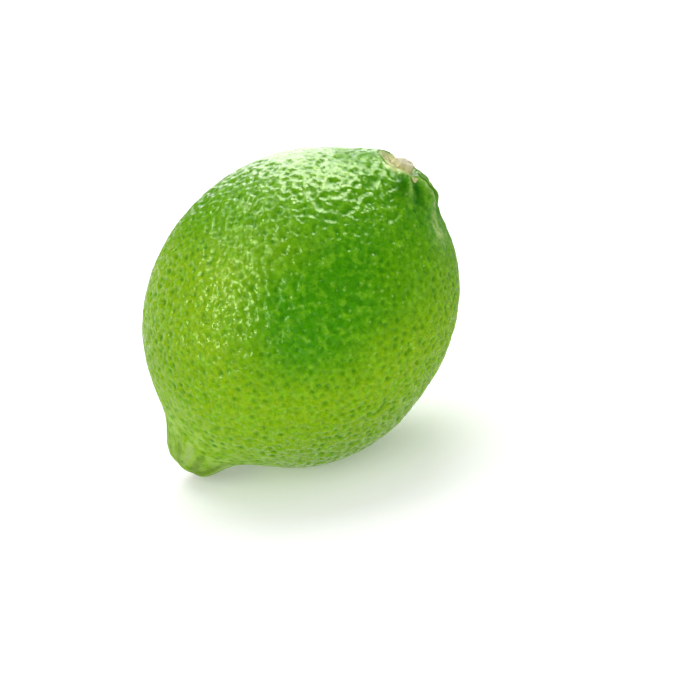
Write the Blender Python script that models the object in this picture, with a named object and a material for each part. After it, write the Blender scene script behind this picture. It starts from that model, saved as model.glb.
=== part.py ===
# A whole lime, lying on a small flat spot, with its dried stem button.
# Metres, +Z up. X runs along the lean of the fruit, the stem end points up and to +X.
# The origin is on the surface the fruit lies on, under the middle of its bounding box.

import math
import random

import bmesh
import bpy
import numpy as np
from mathutils import Matrix

MM = 0.001

# Belly of the fruit: an ellipsoid, a little longer than wide
BELLY_RADIUS = 27.0 * MM
BELLY_HALF_LENGTH = 30.7 * MM
BELLY_TILT = math.radians(36.2)

# Line from the blossom end to the stem end, which leans a little off the belly's long axis
STEM_TILT = math.radians(44.7)

# Neck: a low collar round the stem scar, steep on its lower side, soft on its upper side
NECK_HEIGHT = 2.2 * MM
NECK_SPREAD = math.radians(16.0)
NECK_SPREAD_SHIFT = math.radians(1.6)
NECK_STEEPNESS = 7.0
NECK_STEEPNESS_SHIFT = 3.0

# Gentler shoulder of the neck on one side: its place round the stem, how much softer
SHOULDER_TURN = math.radians(58)
SHOULDER_HALF_WIDTH = math.radians(30)
SHOULDER_SOFTENING = 2.6

# Folds and hollows down the neck's flank: angle round the stem, half width in degrees, height
NECK_FOLDS = [
    (102, 17, 0.70 * MM), (154, 10, 0.95 * MM), (184, 10, 0.80 * MM), (216, 12, 0.70 * MM),
    (250, 13, 0.65 * MM), (286, 14, 0.50 * MM), (324, 15, 0.40 * MM), (20, 17, 0.30 * MM),
    (60, 20, 0.40 * MM), (112, 4, 0.22 * MM), (131, 8, -0.35 * MM), (170, 5, -0.30 * MM),
    (200, 7, -0.25 * MM),
]
FOLD_RING = math.radians(14.0)
FOLD_RING_WIDTH = math.radians(5.5)
FOLD_HOLLOW = 0.40 * MM

# Notch in the collar's rim, on the far side: angle round the stem, half width, depth
NOTCH_TURN = math.radians(279)
NOTCH_HALF_WIDTH = math.radians(14)
NOTCH_RING = math.radians(9.5)
NOTCH_RING_WIDTH = math.radians(3.5)
NOTCH_DEPTH = 0.85 * MM

# Nipple at the blossom end, fuller on its upper side, tucked up underneath
NIPPLE_HEIGHT = 7.0 * MM
NIPPLE_SPREAD_TOP = math.radians(13.1)
NIPPLE_SPREAD_UNDER = math.radians(8.2)
NIPPLE_STEEPNESS = 4.5

# Longer taper into the nipple on one side: its place round the stem, how much wider and softer
TAPER_TURN = math.radians(85)
TAPER_HALF_WIDTH = math.radians(48)
TAPER_WIDENING = math.radians(6.0)
TAPER_SOFTENING = 1.2

# Furrows round the nipple
FURROW_COUNT = 7
FURROW_SKEW = 0.7
FURROW_DEPTH = 0.45 * MM
FURROW_RING = math.radians(11.0)
FURROW_RING_WIDTH = math.radians(5.0)

# Fuller underside that the fruit settles on, and how much of it is flat
UNDERSIDE_FULLNESS = 1.0 * MM
UNDERSIDE_SPREAD = math.radians(30.0)
UNDERSIDE_TOWARD_STEM = 0.12
FLAT_DEPTH = 0.95 * MM

# Slow unevenness of the rind: its height, and the waves it is made of as direction and start
UNEVENNESS = 0.12 * MM
SWELLS = [((3.1, 1.7, 0.0), 0.4), ((0.0, 2.3, -3.7), 1.9)]

# Oil glands: pits in the rind, drawn larger than life, closer together at both ends
PIT_COUNT = 1800
PIT_DEPTH = 0.26 * MM
PIT_SCATTER = 0.24
STEM_END_CROWDING = 3.5
STEM_END_WIDTH = math.radians(24.0)
NIPPLE_CROWDING = 1.5
NIPPLE_WIDTH = math.radians(22.0)
FLAT_PIT_FADE = (8.5 * MM, 11.5 * MM)
SEAT_PIT_FADE = (5.2 * MM, 6.4 * MM)
RELIEF_EDGE = math.radians(12.0)
CROWDING_STEPS = 4001
SEED = 17

# Scar at the stem end: a shallow seat, which the dried button sits in
SEAT_RADIUS = 4.6 * MM
SEAT_OFFSET = 0.35 * MM
SEAT_LOBE = 0.18 * MM
SEAT_LOBES = 5
SEAT_LOBE_TURN = 0.6
SEAT_FLOOR = 31.2 * MM
SEAT_CUTTER_TOP = 38.0 * MM
SEAT_SIDES = 40
BUTTON_GAP = 0.3 * MM
BUTTON_OFFSET = 0.75 * MM

# Profile of the button, as share of its radius and height above its underside
BUTTON_PROFILE = [
    (1.00, 0.15 * MM), (1.00, 0.55 * MM), (0.93, 0.78 * MM), (0.80, 0.66 * MM),
    (0.64, 0.40 * MM), (0.50, 0.36 * MM), (0.45, 1.05 * MM), (0.40, 1.45 * MM),
    (0.27, 1.75 * MM), (0.12, 1.75 * MM),
]
BUTTON_BASE = (0.93, 0.0)
RIB_HEIGHT = 0.16 * MM
RIB_START = 0.3 * MM

# The stub's top slants down toward the upper side, and the calyx ring is worn low at the notch
STUB_EDGE = 0.45
STUB_SLANT = 0.30 * MM
WORN_SHARE = 0.5

# Colours and roughness
RIND_COLOUR = (0.089, 0.366, 0.008)
RIND_ROUGHNESS = 0.3
DRY_COLOUR = (0.560, 0.525, 0.255)
DRY_ROUGHNESS = 0.85

STEM_AXIS = np.array([math.cos(STEM_TILT), 0.0, math.sin(STEM_TILT)])
STEM_UPPER = np.array([-math.sin(STEM_TILT), 0.0, math.cos(STEM_TILT)])
STEM_SIDE = np.array([0.0, -1.0, 0.0])
BELLY_AXIS = np.array([math.cos(BELLY_TILT), 0.0, math.sin(BELLY_TILT)])


def angle_between(directions, axis):
    """Angles between unit directions and one unit axis."""
    return np.arccos(np.clip(directions @ axis, -1.0, 1.0))


def smooth_step(low, high, value):
    """0 below low, 1 above high, with a soft ramp between."""
    t = np.clip((value - low) / (high - low), 0.0, 1.0)
    return t * t * (3.0 - 2.0 * t)


def turn_difference(angle, middle):
    """Difference of two angles round a circle, between -pi and pi."""
    return (angle - middle + math.pi) % (2.0 * math.pi) - math.pi


def belly_radius(directions):
    """Distance from the middle to the plain ellipsoid."""
    along = directions @ BELLY_AXIS
    share = (along / BELLY_HALF_LENGTH) ** 2 + (1.0 - along ** 2) / BELLY_RADIUS ** 2
    return 1.0 / np.sqrt(share)


def neck_rise(directions):
    """Height of the collar and its folds round the stem scar."""
    away = angle_between(directions, STEM_AXIS)
    round_stem = np.arctan2(directions @ STEM_SIDE, directions @ STEM_UPPER)
    lower = -np.cos(round_stem)
    spread = NECK_SPREAD + NECK_SPREAD_SHIFT * lower
    shoulder = np.exp(-(turn_difference(round_stem, SHOULDER_TURN) / SHOULDER_HALF_WIDTH) ** 2)
    steepness = NECK_STEEPNESS + NECK_STEEPNESS_SHIFT * lower - SHOULDER_SOFTENING * shoulder
    collar = NECK_HEIGHT / (1.0 + (away / spread) ** steepness)
    folds = np.full(len(directions), -FOLD_HOLLOW)
    for middle, half_width, height in NECK_FOLDS:
        offset = turn_difference(round_stem, math.radians(middle)) / math.radians(half_width)
        folds += height * np.exp(-offset ** 2)
    folds *= np.exp(-((away - FOLD_RING) / FOLD_RING_WIDTH) ** 2)
    notch = np.exp(-(turn_difference(round_stem, NOTCH_TURN) / NOTCH_HALF_WIDTH) ** 2)
    notch *= np.exp(-((away - NOTCH_RING) / NOTCH_RING_WIDTH) ** 2)
    return collar + folds - NOTCH_DEPTH * notch


def nipple_rise(directions):
    """Height of the nipple and its furrows at the blossom end."""
    away = angle_between(directions, -STEM_AXIS)
    round_stem = np.arctan2(directions @ STEM_SIDE, directions @ STEM_UPPER)
    under = 0.5 - 0.5 * np.cos(round_stem)
    spread = NIPPLE_SPREAD_TOP + (NIPPLE_SPREAD_UNDER - NIPPLE_SPREAD_TOP) * under
    taper = np.exp(-(turn_difference(round_stem, TAPER_TURN) / TAPER_HALF_WIDTH) ** 2)
    spread = spread + TAPER_WIDENING * taper
    rise = NIPPLE_HEIGHT / (1.0 + (away / spread) ** (NIPPLE_STEEPNESS - TAPER_SOFTENING * taper))
    wave = 0.5 + 0.5 * np.cos(FURROW_COUNT * round_stem + FURROW_SKEW * np.sin(round_stem))
    band = np.exp(-((away - FURROW_RING) / FURROW_RING_WIDTH) ** 2)
    return rise - FURROW_DEPTH * wave ** 2 * band


def underside_rise(directions):
    """Fullness of the side that the fruit settles on."""
    down = np.array([UNDERSIDE_TOWARD_STEM, 0.0, -1.0])
    away = angle_between(directions, down / np.linalg.norm(down))
    return UNDERSIDE_FULLNESS * np.exp(-(away / UNDERSIDE_SPREAD) ** 4)


def unevenness(directions):
    """Slow swells that keep the fruit from being a perfect ellipsoid."""
    waves = [np.sin(directions @ np.array(wave) + start) for wave, start in SWELLS]
    return UNEVENNESS * np.mean(waves, axis=0)


def surface(directions):
    """Points of the smooth rind, from the middle of the belly, along unit directions."""
    radius = belly_radius(directions) + neck_rise(directions) + nipple_rise(directions)
    radius += underside_rise(directions) + unevenness(directions)
    return directions * radius[:, None]


def gland_crowding(away_from_stem):
    """How closely the glands stand, by angle from the stem axis."""
    stem_end = STEM_END_CROWDING * np.exp(-(away_from_stem / STEM_END_WIDTH) ** 2)
    nipple = NIPPLE_CROWDING * np.exp(-((math.pi - away_from_stem) / NIPPLE_WIDTH) ** 2)
    return 1.0 + stem_end + nipple


def gland_directions():
    """Spread the glands over the sphere on a golden spiral, each nudged from its place."""
    rng = random.Random(SEED)
    polar = np.linspace(0.0, math.pi, CROWDING_STEPS)
    share = np.cumsum(gland_crowding(polar) * np.sin(polar))
    share /= share[-1]
    golden_turn = math.pi * (3.0 - math.sqrt(5.0))
    even_pitch = math.sqrt(4.0 * math.pi / PIT_COUNT)
    directions = np.empty((PIT_COUNT, 3))
    for i in range(PIT_COUNT):
        away = float(np.interp((i + 0.5) / PIT_COUNT, share, polar))
        pitch = even_pitch / math.sqrt(float(gland_crowding(away)))
        turn = i * golden_turn
        ring = math.cos(turn) * STEM_UPPER + math.sin(turn) * STEM_SIDE
        point = math.cos(away) * STEM_AXIS + math.sin(away) * ring
        nudge = np.array([rng.uniform(-1.0, 1.0) for _ in range(3)])
        point = point + PIT_SCATTER * pitch * nudge
        directions[i] = point / np.linalg.norm(point)
    return directions


def spread_triangles(directions):
    """Triangles between neighbouring directions, as the hull of points on a sphere."""
    bm = bmesh.new()
    verts = [bm.verts.new(tuple(d)) for d in directions]
    bm.verts.index_update()
    bmesh.ops.convex_hull(bm, input=verts)
    triangles = [[v.index for v in face.verts] for face in bm.faces]
    pairs = []
    bm.faces.index_update()
    for edge in bm.edges:
        first, second = edge.link_faces
        pairs.append((edge.verts[0].index, edge.verts[1].index, first.index, second.index))
    bm.free()
    return triangles, pairs


def outward(points, triangle):
    """The triangle's corners in the order that faces away from the middle."""
    a, b, c = (points[i] for i in triangle)
    if np.dot(np.cross(b - a, c - a), a + b + c) < 0.0:
        return (triangle[0], triangle[2], triangle[1])
    return triangle


def rind_mesh():
    """Rind with a pit at each gland and ridges between, before its flat spot is cut."""
    glands = gland_directions()
    triangles, pairs = spread_triangles(glands)
    ridges = np.array([glands[t].sum(axis=0) for t in triangles])
    ridges /= np.linalg.norm(ridges, axis=1)[:, None]
    directions = np.vstack([glands, ridges])
    points = surface(directions)
    count = len(glands)

    floor = points[:, 2][angle_between(directions, -STEM_AXIS) > NIPPLE_WIDTH].min() + FLAT_DEPTH
    lowest = points[points[:, 2] < floor].mean(axis=0)
    from_flat = np.linalg.norm(points[:count] - lowest, axis=1)
    off_axis = np.sin(angle_between(glands, STEM_AXIS)) * np.linalg.norm(points[:count], axis=1)
    at_seat = smooth_step(*SEAT_PIT_FADE, off_axis)
    at_seat[glands @ STEM_AXIS < 0.0] = 1.0
    depth = PIT_DEPTH * smooth_step(*FLAT_PIT_FADE, from_flat) * at_seat
    depth /= np.sqrt(gland_crowding(angle_between(glands, STEM_AXIS)))
    points[:count] -= glands * depth[:, None]

    faces = []
    for first, second, left, right in pairs:
        faces.append(outward(points, (first, count + left, count + right)))
        faces.append(outward(points, (second, count + right, count + left)))
    return points, faces, floor


def make_material(name, colour, roughness):
    """Plain Principled material."""
    material = bpy.data.materials.new(name)
    material.use_nodes = True
    shader = material.node_tree.nodes["Principled BSDF"]
    shader.inputs["Base Color"].default_value = (*colour, 1.0)
    shader.inputs["Roughness"].default_value = roughness
    shader.inputs["Metallic"].default_value = 0.0
    return material


def add_object(name, points, faces, material=None):
    """Object from points and faces, shaded smooth but for the edges of its relief."""
    mesh = bpy.data.meshes.new(name)
    mesh.from_pydata([tuple(p) for p in points], [], faces)
    mesh.validate()
    mesh.shade_smooth()
    mesh.set_sharp_from_angle(angle=RELIEF_EDGE)
    if material:
        mesh.materials.append(material)
    made = bpy.data.objects.new(name, mesh)
    bpy.context.scene.collection.objects.link(made)
    return made


def cut_away(target, cutter):
    """Take the cutter's volume from the target and keep the cutter as a hidden guide."""
    modifier = target.modifiers.new(cutter.name, "BOOLEAN")
    modifier.operation = "DIFFERENCE"
    modifier.solver = "EXACT"
    modifier.object = cutter
    cutter.hide_render = True
    cutter.display_type = "WIRE"


def seat_outline(turn):
    """Radius of the scar round the stem axis: five soft lobes."""
    return SEAT_RADIUS + SEAT_LOBE * math.cos(SEAT_LOBES * turn + SEAT_LOBE_TURN)


def stem_point(turn, radius, height, offset=SEAT_OFFSET):
    """Point near the stem axis, by turn and radius round it and height along it."""
    across = (math.cos(turn) * radius - offset) * STEM_UPPER + math.sin(turn) * radius * STEM_SIDE
    return across + height * STEM_AXIS


def turned_faces(rings, sides):
    """Faces between rings of points, with a fan to a middle point at each end."""
    faces = []
    for ring in range(rings - 1):
        for i in range(sides):
            j = (i + 1) % sides
            low, high = ring * sides, (ring + 1) * sides
            faces.append((low + i, low + j, high + j, high + i))
    bottom, top = rings * sides, rings * sides + 1
    for i in range(sides):
        j = (i + 1) % sides
        faces.append((bottom, j, i))
        faces.append((top, (rings - 1) * sides + i, (rings - 1) * sides + j))
    return faces


def seat_cutter(middle):
    """Short lobed plug that cuts the seat of the button."""
    turns = [2.0 * math.pi * i / SEAT_SIDES for i in range(SEAT_SIDES)]
    heights = (SEAT_FLOOR, SEAT_CUTTER_TOP)
    points = []
    for height in heights:
        points += [stem_point(t, seat_outline(t), height) + middle for t in turns]
    points += [stem_point(0.0, 0.0, height) + middle for height in heights]
    return add_object("seat_cutter", points, turned_faces(2, SEAT_SIDES))


def table_cutter():
    """Block under the surface that the fruit lies on."""
    bm = bmesh.new()
    bmesh.ops.create_cube(bm, size=1.0)
    reach = 4.0 * BELLY_HALF_LENGTH
    size = Matrix.Diagonal((reach, reach, reach, 1.0))
    bmesh.ops.transform(bm, matrix=Matrix.Translation((0, 0, -0.5 * reach)) @ size, verts=bm.verts)
    mesh = bpy.data.meshes.new("table_cutter")
    bm.to_mesh(mesh)
    bm.free()
    block = bpy.data.objects.new("table_cutter", mesh)
    bpy.context.scene.collection.objects.link(block)
    return block


def stem_button(middle, material):
    """Dried calyx disc with five ribs and the broken stub of the stem in its middle."""
    turns = [2.0 * math.pi * i / SEAT_SIDES for i in range(SEAT_SIDES)]
    base = SEAT_FLOOR + BUTTON_GAP
    rows = [BUTTON_BASE] + BUTTON_PROFILE
    points = []
    for share, height in rows:
        ribbed = math.sin(math.pi * share) if height > RIB_START else 0.0
        for t in turns:
            radius = share * (seat_outline(t) - BUTTON_GAP)
            rib = RIB_HEIGHT * ribbed * math.cos(SEAT_LOBES * t + SEAT_LOBE_TURN)
            top = base + height + rib
            if share <= STUB_EDGE:
                top -= STUB_SLANT * math.cos(t) * share / STUB_EDGE
            elif height > RIB_START:
                near_notch = turn_difference(t, NOTCH_TURN) / NOTCH_HALF_WIDTH
                top -= WORN_SHARE * height * math.exp(-near_notch ** 2)
            offset = SEAT_OFFSET + BUTTON_OFFSET * (1.0 - share)
            points.append(stem_point(t, radius, top, offset) + middle)
    points.append(stem_point(0.0, 0.0, base) + middle)
    tip = base + BUTTON_PROFILE[-1][1]
    points.append(stem_point(0.0, 0.0, tip, SEAT_OFFSET + BUTTON_OFFSET) + middle)
    return add_object("stem_button", points, turned_faces(len(rows), SEAT_SIDES), material)


def main():
    for old in list(bpy.data.objects):
        bpy.data.objects.remove(old, do_unlink=True)

    rind = make_material("rind", RIND_COLOUR, RIND_ROUGHNESS)
    dry = make_material("dry_button", DRY_COLOUR, DRY_ROUGHNESS)

    points, faces, floor = rind_mesh()
    lowest, highest = points.min(axis=0), points.max(axis=0)
    middle = -0.5 * (lowest + highest)
    middle[2] = -floor

    fruit = add_object("fruit", points + middle, faces, rind)
    cut_away(fruit, seat_cutter(middle))
    cut_away(fruit, table_cutter())
    stem_button(middle, dry)


main()
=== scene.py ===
# Looks of the whole lime: a fine rind with its oil-gland pits, and the dried stem button.
# Metres, +Z up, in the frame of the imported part.

import math
import random

import bpy
import numpy as np
from mathutils import Matrix, Vector, noise
from mathutils.kdtree import KDTree


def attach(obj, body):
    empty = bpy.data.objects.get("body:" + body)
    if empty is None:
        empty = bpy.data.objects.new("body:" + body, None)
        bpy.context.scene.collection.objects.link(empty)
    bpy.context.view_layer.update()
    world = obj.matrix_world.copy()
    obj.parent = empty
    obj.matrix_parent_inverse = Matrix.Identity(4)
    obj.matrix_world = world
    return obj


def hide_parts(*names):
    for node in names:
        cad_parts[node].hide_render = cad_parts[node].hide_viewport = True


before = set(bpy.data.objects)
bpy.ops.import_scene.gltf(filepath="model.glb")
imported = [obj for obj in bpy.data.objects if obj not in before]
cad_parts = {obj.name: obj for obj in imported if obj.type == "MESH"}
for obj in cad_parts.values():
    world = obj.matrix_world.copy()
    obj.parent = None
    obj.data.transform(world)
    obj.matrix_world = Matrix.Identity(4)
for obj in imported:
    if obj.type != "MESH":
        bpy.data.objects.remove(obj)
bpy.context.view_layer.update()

MM = 0.001

# Belly of the fruit: an ellipsoid, a little longer than wide
BELLY_RADIUS = 27.0 * MM
BELLY_HALF_LENGTH = 30.7 * MM
BELLY_TILT = math.radians(36.2)

# Line from the blossom end to the stem end
STEM_TILT = math.radians(44.7)

# Neck: a low collar round the stem scar, steep on its lower side, soft on its upper side
NECK_HEIGHT = 2.2 * MM
NECK_SPREAD = math.radians(16.0)
NECK_SPREAD_SHIFT = math.radians(1.6)
NECK_STEEPNESS = 7.0
NECK_STEEPNESS_SHIFT = 3.0

# Gentler shoulder of the neck, on the upper side that faces the camera
SHOULDER_TURN = math.radians(58)
SHOULDER_HALF_WIDTH = math.radians(30)
SHOULDER_SOFTENING = 2.6

# Folds down the neck's flank: angle round the stem, half width in degrees, height
NECK_FOLDS = [
    (102, 17, 0.70 * MM), (154, 10, 0.95 * MM), (184, 10, 0.80 * MM), (216, 12, 0.70 * MM),
    (250, 13, 0.65 * MM), (286, 14, 0.50 * MM), (324, 15, 0.40 * MM), (20, 17, 0.30 * MM),
    (60, 20, 0.40 * MM), (112, 4, 0.22 * MM), (131, 8, -0.35 * MM), (170, 5, -0.30 * MM),
    (200, 7, -0.25 * MM),
]
FOLD_RING = math.radians(14.0)
FOLD_RING_WIDTH = math.radians(5.5)
FOLD_HOLLOW = 0.40 * MM

# Notch in the collar's rim, on the far side
NOTCH_TURN = math.radians(279)
NOTCH_HALF_WIDTH = math.radians(14)
NOTCH_RING = math.radians(9.5)
NOTCH_RING_WIDTH = math.radians(3.5)
NOTCH_DEPTH = 0.85 * MM

# Nipple at the blossom end, fuller on its upper side, tucked up underneath
NIPPLE_HEIGHT = 7.0 * MM
NIPPLE_SPREAD_TOP = math.radians(13.1)
NIPPLE_SPREAD_UNDER = math.radians(8.2)
NIPPLE_STEEPNESS = 4.5
NIPPLE_WIDTH = math.radians(22.0)

# Longer taper into the nipple on the side that faces the camera
TAPER_TURN = math.radians(85)
TAPER_HALF_WIDTH = math.radians(48)
TAPER_WIDENING = math.radians(6.0)
TAPER_SOFTENING = 1.2

# Furrows down the nipple, unevenly spaced
FURROW_COUNT = 7
FURROW_SKEW = 0.7
FURROW_DEPTH = 0.45 * MM
FURROW_RING = math.radians(11.0)
FURROW_RING_WIDTH = math.radians(5.0)

# Fuller underside that the fruit settles on, and how much of it is flat
UNDERSIDE_FULLNESS = 1.0 * MM
UNDERSIDE_SPREAD = math.radians(30.0)
UNDERSIDE_TOWARD_STEM = 0.12
FLAT_DEPTH = 0.95 * MM

# Slow unevenness of the rind
UNEVENNESS = 0.12 * MM

# Fine mesh of the rind: squares along an edge of the cube that is pushed out to the fruit's form
GRID = 128
WELD_DIGITS = 7

# Oil glands: pits along a spiral from the stem to the nipple, each nudged from its place
GLAND_COUNT = 3650
GLAND_SCATTER = 0.34
SPIRAL_STEPS = 4001
SEED = 17

# How much closer together the glands stand at both ends
STEM_END_CROWDING = 1.2
STEM_END_WIDTH = math.radians(24.0)
NIPPLE_CROWDING = 0.7

# Pits from the smallest to the largest, each with a wide shallow skirt
GLAND_RADIUS = (0.50 * MM, 0.68 * MM)
GLAND_DEPTH = (0.18 * MM, 0.42 * MM)
GLAND_DEPTH_SPREAD = (0.7, 1.0)
SKIRT_RADIUS = 1.0 * MM
SKIRT_DEPTH = 0.02 * MM
GLAND_REACH = 2.2 * SKIRT_RADIUS

# Dark tint in each pit, partly the gland's own deeper green and partly painted shade in the pit: its width
# as a share of the pit's, and its strength in the smallest
GLAND_TINT_SHARE = 0.90
GLAND_TINT_LEAST = 0.45

# Bumps between the glands, as size and height
BUMPS = [
    (1.1 * MM, 0.035 * MM), (1.9 * MM, 0.045 * MM), (3.6 * MM, 0.05 * MM), (8.0 * MM, 0.08 * MM),
]
NOISE_SHIFT = (17.3, 5.1, 9.7)

# Share of the bumps and pits left in the calm rind, and how many times higher bumps are at the neck
CALM_BUMPS = 0.2
CALM_PITS = 0.25
NECK_BUMPS = 2.3
NECK_BUMPS_WIDTH = math.radians(27.0)

# Where the rough rind begins: distance from the flat spot's middle, and share of the scar's outline
FLAT_BORDER = (6.5 * MM, 9.5 * MM)
SCAR_BORDER = (1.02, 1.25)

# Rind sunk under the button, and where it rises again, as a share of the scar's outline
SCAR_SINK = 1.0 * MM
SCAR_SINK_BORDER = (0.86, 1.0)

# Painted shade in the folds' hollows and painted highlights on their crests: angle round the stem, half
# width and ring in degrees, then strength
HOLLOW_SHADES = [(98, 12, 13.5, 0.75), (128, 12, 12.5, 1.0), (172, 7, 12.5, 0.7), (200, 10, 12.5, 0.6)]
CREST_HIGHLIGHTS = [
    (112, 2.0, 12.0, 0.7), (151, 3.5, 12.0, 1.0), (154, 5, 18.0, 0.9), (151, 10, 25.0, 1.0),
    (186, 4, 12.0, 0.7), (216, 5, 12.0, 0.6),
]

# Dull places round the neck, in the same terms, and how dull the nipple is
DULLED = [(104, 17, 12.0, 1.0), (14, 20, 18.0, 0.9), (10, 26, 12.0, 0.95), (142, 20, 9.5, 1.0)]
NIPPLE_DULLNESS = 0.45

# Pale rim of the scar, on the side that faces the camera
RIM_TURN = math.radians(92)
RIM_HALF_WIDTH = math.radians(40)
RIM_BORDER = (1.38, 1.06)

# Hue: deep green along a line from the belly's front to the neck, yellower away from it, less so on top; the
# yellower, lighter green is partly the rind's own hue and partly painted light on the side lit from the left
DEEP_GREEN_LINE = np.array([(0.0, -33.0, 35.0), (20.0, -4.0, 41.0)]) * MM
YELLOW_NEAR = 4.0 * MM
YELLOW_FAR = 20.0 * MM
YELLOW_DRIFT = 2.5 * MM
YELLOW_DRIFT_SIZE = 9.0 * MM
YELLOW_DRIFT_SEED = 11
GREEN_TOP = (43.0 * MM, 52.0 * MM)
GREEN_TOP_SHARE = 0.6

# Calmer, paler rind with darker pits round the nipple: more painted shade in pits whose relief is flattened
CALM_START = math.radians(48.0)
CALM_END = math.radians(24.0)

# Smoother, glossier rind at the very top
GLOSSY_TOP = np.array([0.13, 0.20, 0.97])
GLOSSY_TOP_WIDTH = math.radians(15.0)
GLOSSY_TOP_PITS = 0.45

# Streaks along the nipple: where they fade at its foot and at its tip, and how fine and short they are
STREAK_START = math.radians(14.0)
STREAK_END = math.radians(27.0)
STREAK_TIP = (0.02, 0.08)
STREAK_FINENESS = 4.5
STREAK_SHORTNESS = 3.0

# Brown scar at the nipple's tip, by angle from the stem in degrees
TIP_SCAR = (176.5, 178.6)

# Scar at the stem end
SEAT_RADIUS = 4.6 * MM
SEAT_OFFSET = 0.35 * MM
SEAT_LOBE = 0.18 * MM
SEAT_LOBES = 5
SEAT_LOBE_TURN = 0.6
SEAT_FLOOR = 31.2 * MM
OPENING_UPPER = 1.0
OPENING_LOWER = 0.74
FAR_SHARE = 99.0

STEM_AXIS = np.array([math.cos(STEM_TILT), 0.0, math.sin(STEM_TILT)])
STEM_UPPER = np.array([-math.sin(STEM_TILT), 0.0, math.cos(STEM_TILT)])
STEM_SIDE = np.array([0.0, -1.0, 0.0])
BELLY_AXIS = np.array([math.cos(BELLY_TILT), 0.0, math.sin(BELLY_TILT)])

# The photograph's view: 20 degrees above the table, leaning with the 12 degrees that the fruit was turned by
CAMERA_ELEVATION = math.radians(20.0)
CAMERA_LEAN = math.radians(11.95)
CAMERA_DISTANCE = 0.528
CAMERA_SHIFT_RIGHT = 8.9 * MM
CAMERA_SHIFT_UP = -7.8 * MM
CAMERA_LENS = 150.0
SENSOR_WIDTH = 36.0


def angle_between(directions, axis):
    """Angles between unit directions and one unit axis."""
    return np.arccos(np.clip(directions @ axis, -1.0, 1.0))


def smooth_step(low, high, value):
    """0 below low, 1 above high, with a soft ramp between."""
    t = np.clip((value - low) / (high - low), 0.0, 1.0)
    return t * t * (3.0 - 2.0 * t)


def turn_difference(angle, middle):
    """Difference of two angles round a circle, between -pi and pi."""
    return (angle - middle + math.pi) % (2.0 * math.pi) - math.pi


def turn_of(directions):
    """Angle of each direction round the stem axis."""
    return np.arctan2(directions @ STEM_SIDE, directions @ STEM_UPPER)


def belly_radius(directions):
    """Distance from the middle to the plain ellipsoid."""
    along = directions @ BELLY_AXIS
    share = (along / BELLY_HALF_LENGTH) ** 2 + (1.0 - along ** 2) / BELLY_RADIUS ** 2
    return 1.0 / np.sqrt(share)


def neck_rise(directions):
    """Height of the collar and its folds round the stem scar."""
    away = angle_between(directions, STEM_AXIS)
    turns = turn_of(directions)
    lower = -np.cos(turns)
    spread = NECK_SPREAD + NECK_SPREAD_SHIFT * lower
    shoulder = np.exp(-(turn_difference(turns, SHOULDER_TURN) / SHOULDER_HALF_WIDTH) ** 2)
    steepness = NECK_STEEPNESS + NECK_STEEPNESS_SHIFT * lower - SHOULDER_SOFTENING * shoulder
    collar = NECK_HEIGHT / (1.0 + (away / spread) ** steepness)
    folds = np.full(len(directions), -FOLD_HOLLOW)
    for middle, half_width, height in NECK_FOLDS:
        offset = turn_difference(turns, math.radians(middle)) / math.radians(half_width)
        folds += height * np.exp(-offset ** 2)
    folds *= np.exp(-((away - FOLD_RING) / FOLD_RING_WIDTH) ** 2)
    notch = np.exp(-(turn_difference(turns, NOTCH_TURN) / NOTCH_HALF_WIDTH) ** 2)
    notch *= np.exp(-((away - NOTCH_RING) / NOTCH_RING_WIDTH) ** 2)
    return collar + folds - NOTCH_DEPTH * notch


def nipple_rise(directions):
    """Height of the nipple and its furrows at the blossom end."""
    away = angle_between(directions, -STEM_AXIS)
    turns = turn_of(directions)
    under = 0.5 - 0.5 * np.cos(turns)
    spread = NIPPLE_SPREAD_TOP + (NIPPLE_SPREAD_UNDER - NIPPLE_SPREAD_TOP) * under
    taper = np.exp(-(turn_difference(turns, TAPER_TURN) / TAPER_HALF_WIDTH) ** 2)
    spread = spread + TAPER_WIDENING * taper
    rise = NIPPLE_HEIGHT / (1.0 + (away / spread) ** (NIPPLE_STEEPNESS - TAPER_SOFTENING * taper))
    wave = 0.5 + 0.5 * np.cos(FURROW_COUNT * turns + FURROW_SKEW * np.sin(turns))
    band = np.exp(-((away - FURROW_RING) / FURROW_RING_WIDTH) ** 2)
    return rise - FURROW_DEPTH * wave ** 2 * band


def underside_rise(directions):
    """Fullness of the side that the fruit settles on."""
    down = np.array([UNDERSIDE_TOWARD_STEM, 0.0, -1.0])
    away = angle_between(directions, down / np.linalg.norm(down))
    return UNDERSIDE_FULLNESS * np.exp(-(away / UNDERSIDE_SPREAD) ** 4)


def unevenness(directions):
    """Slow swells that keep the fruit from being a perfect ellipsoid."""
    x, y, z = directions.T
    swell = np.sin(3.1 * x + 1.7 * y + 0.4) + np.sin(2.3 * y - 3.7 * z + 1.9)
    return 0.5 * UNEVENNESS * swell


def surface(directions):
    """Points of the smooth rind, from the middle of the belly, along unit directions."""
    radius = belly_radius(directions) + neck_rise(directions) + nipple_rise(directions)
    radius += underside_rise(directions) + unevenness(directions)
    return directions * radius[:, None]


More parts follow.
